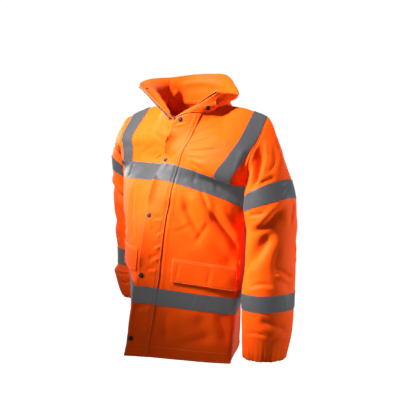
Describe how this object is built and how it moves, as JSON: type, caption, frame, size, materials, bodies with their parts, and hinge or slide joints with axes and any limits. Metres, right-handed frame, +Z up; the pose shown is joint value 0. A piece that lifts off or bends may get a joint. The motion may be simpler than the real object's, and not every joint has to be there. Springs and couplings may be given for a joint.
{
  "type": "hi-vis work jacket",
  "caption": "Padded high-visibility work jacket with stand collar, storm flap over a zip, pocket flaps and reflective tape round chest, waist, sleeves and shoulders.",
  "frame": {"origin": "midway between the shoulder tips, at their height, where the wearer's shoulders hold the jacket", "axes": "+Z up, +X towards the wearer's left, -Y towards the wearer's front"},
  "size_m": [0.7706, 0.4383, 0.8494],
  "materials": {
    "orange_cloth": "coated woven polyester, soft sheen",
    "reflective_tape": "grey glass-bead tape, satin",
    "press_stud": "black moulded cap",
    "zip_tape": "black woven tape with moulded teeth",
    "zip_slider": "black moulded slider"
  },
  "bodies": {
    "root": {"back": "orange_cloth", "brace_left": "reflective_tape", "brace_right": "reflective_tape", "chest_band_back": "reflective_tape", "chest_band_flap": "reflective_tape", "chest_band_front_left": "reflective_tape", "chest_band_front_right": "reflective_tape", "collar": "orange_cloth", "collar_flap": "orange_cloth", "front_left": "orange_cloth", "front_right": "orange_cloth", "pocket_flap_left": "orange_cloth", "pocket_flap_right": "orange_cloth", "sleeve_band_left_lower": "reflective_tape", "sleeve_band_left_upper": "reflective_tape", "sleeve_band_right_lower": "reflective_tape", "sleeve_band_right_upper": "reflective_tape", "sleeve_left": "orange_cloth", "sleeve_right": "orange_cloth", "storm_flap": "orange_cloth", "stud_1": "press_stud", "stud_2": "press_stud", "stud_3": "press_stud", "stud_4": "press_stud", "stud_5": "press_stud", "stud_collar": "press_stud", "stud_collar_socket": "press_stud", "stud_neck_socket": "press_stud", "waist_band_back": "reflective_tape", "waist_band_flap": "reflective_tape", "waist_band_front_left": "reflective_tape", "waist_band_front_right": "reflective_tape", "zip_closed": "zip_tape", "zip_collar_left": "zip_tape", "zip_collar_right": "zip_tape", "zip_slider": "zip_slider"}
  },
  "joints": []
}
